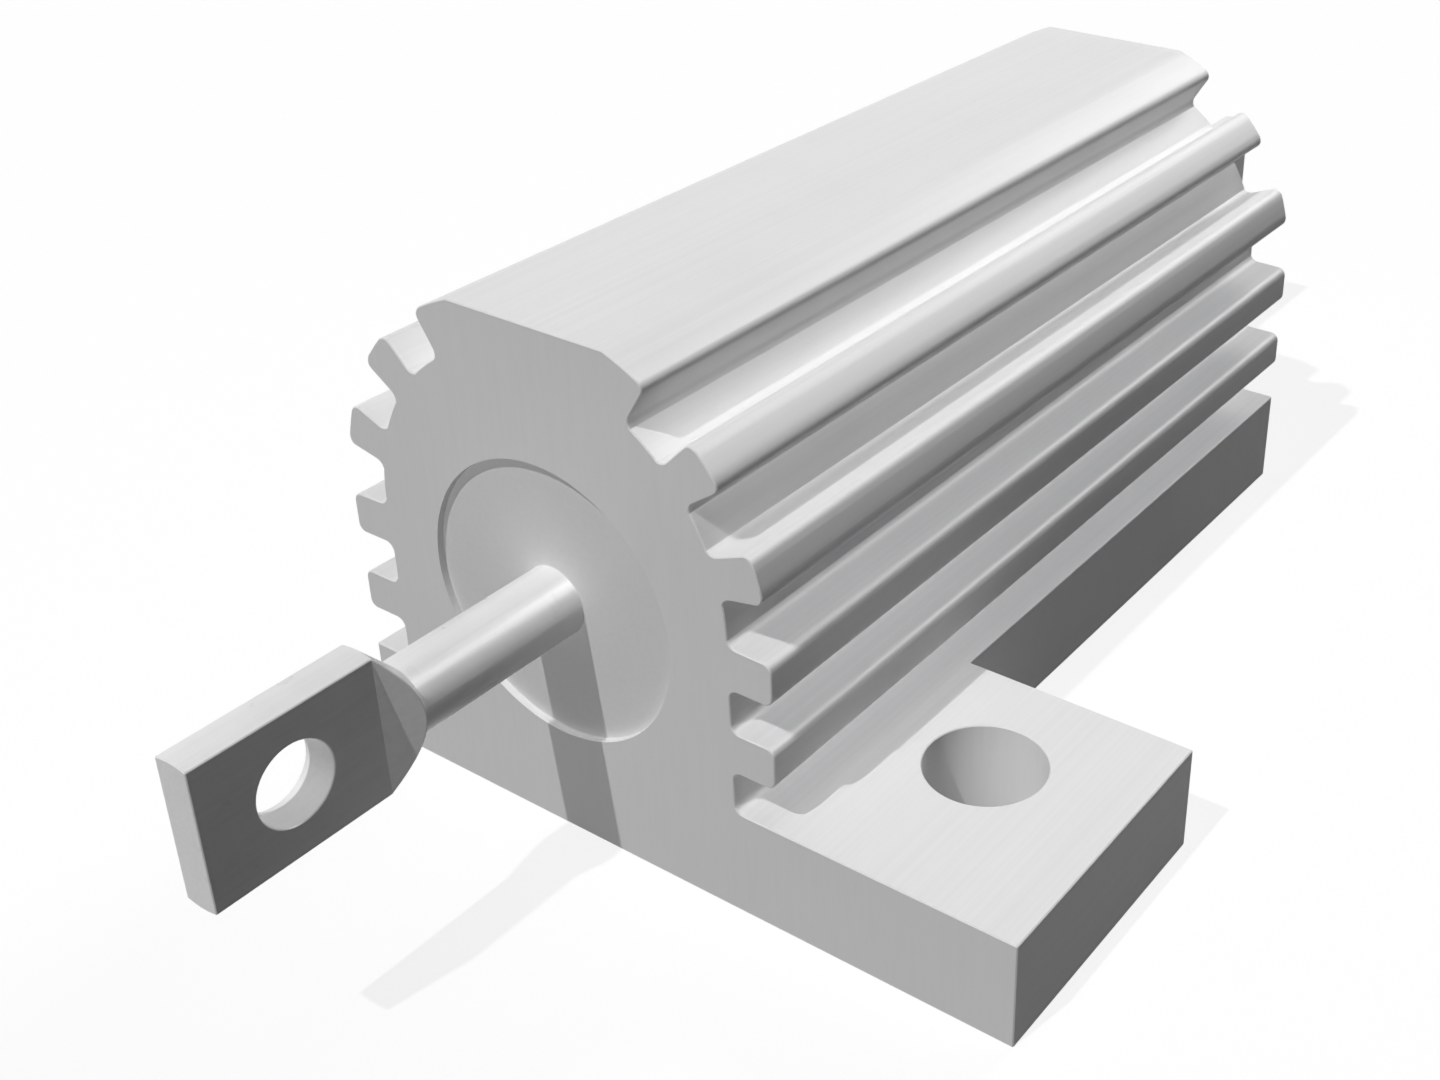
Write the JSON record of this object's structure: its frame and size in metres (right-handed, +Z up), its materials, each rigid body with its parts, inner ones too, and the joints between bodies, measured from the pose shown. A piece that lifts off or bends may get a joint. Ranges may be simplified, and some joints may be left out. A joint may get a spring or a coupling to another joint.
{
  "type": "aluminium housed resistor",
  "caption": "Wirewound power resistor sealed in a finned aluminium extrusion, with diagonal bolt-down feet and a flat pierced solder lug at either end.",
  "frame": {"origin": "middle of the housing's underside, halfway between its end faces", "axes": "+Y along the bore, with the front solder lug towards -Y; +Z up, away from the mounting face; +X to the right when looking along +Y"},
  "size_m": [0.028, 0.0504, 0.0149],
  "materials": {
    "aluminium": "natural anodised extrusion, satin",
    "moulding": "matt grey silicone moulding",
    "ceramic": "unglazed white ceramic",
    "resistance_alloy": "drawn nickel-chrome ribbon",
    "cap_steel": "plated pressed steel",
    "tinned_metal": "satin tin plate"
  },
  "bodies": {
    "root": {"housing": "aluminium", "moulding": "moulding", "ceramic_core": "ceramic", "resistance_ribbon": "resistance_alloy", "front_end_cap": "cap_steel", "rear_end_cap": "cap_steel", "front_terminal": "tinned_metal", "rear_terminal": "tinned_metal"}
  },
  "joints": []
}
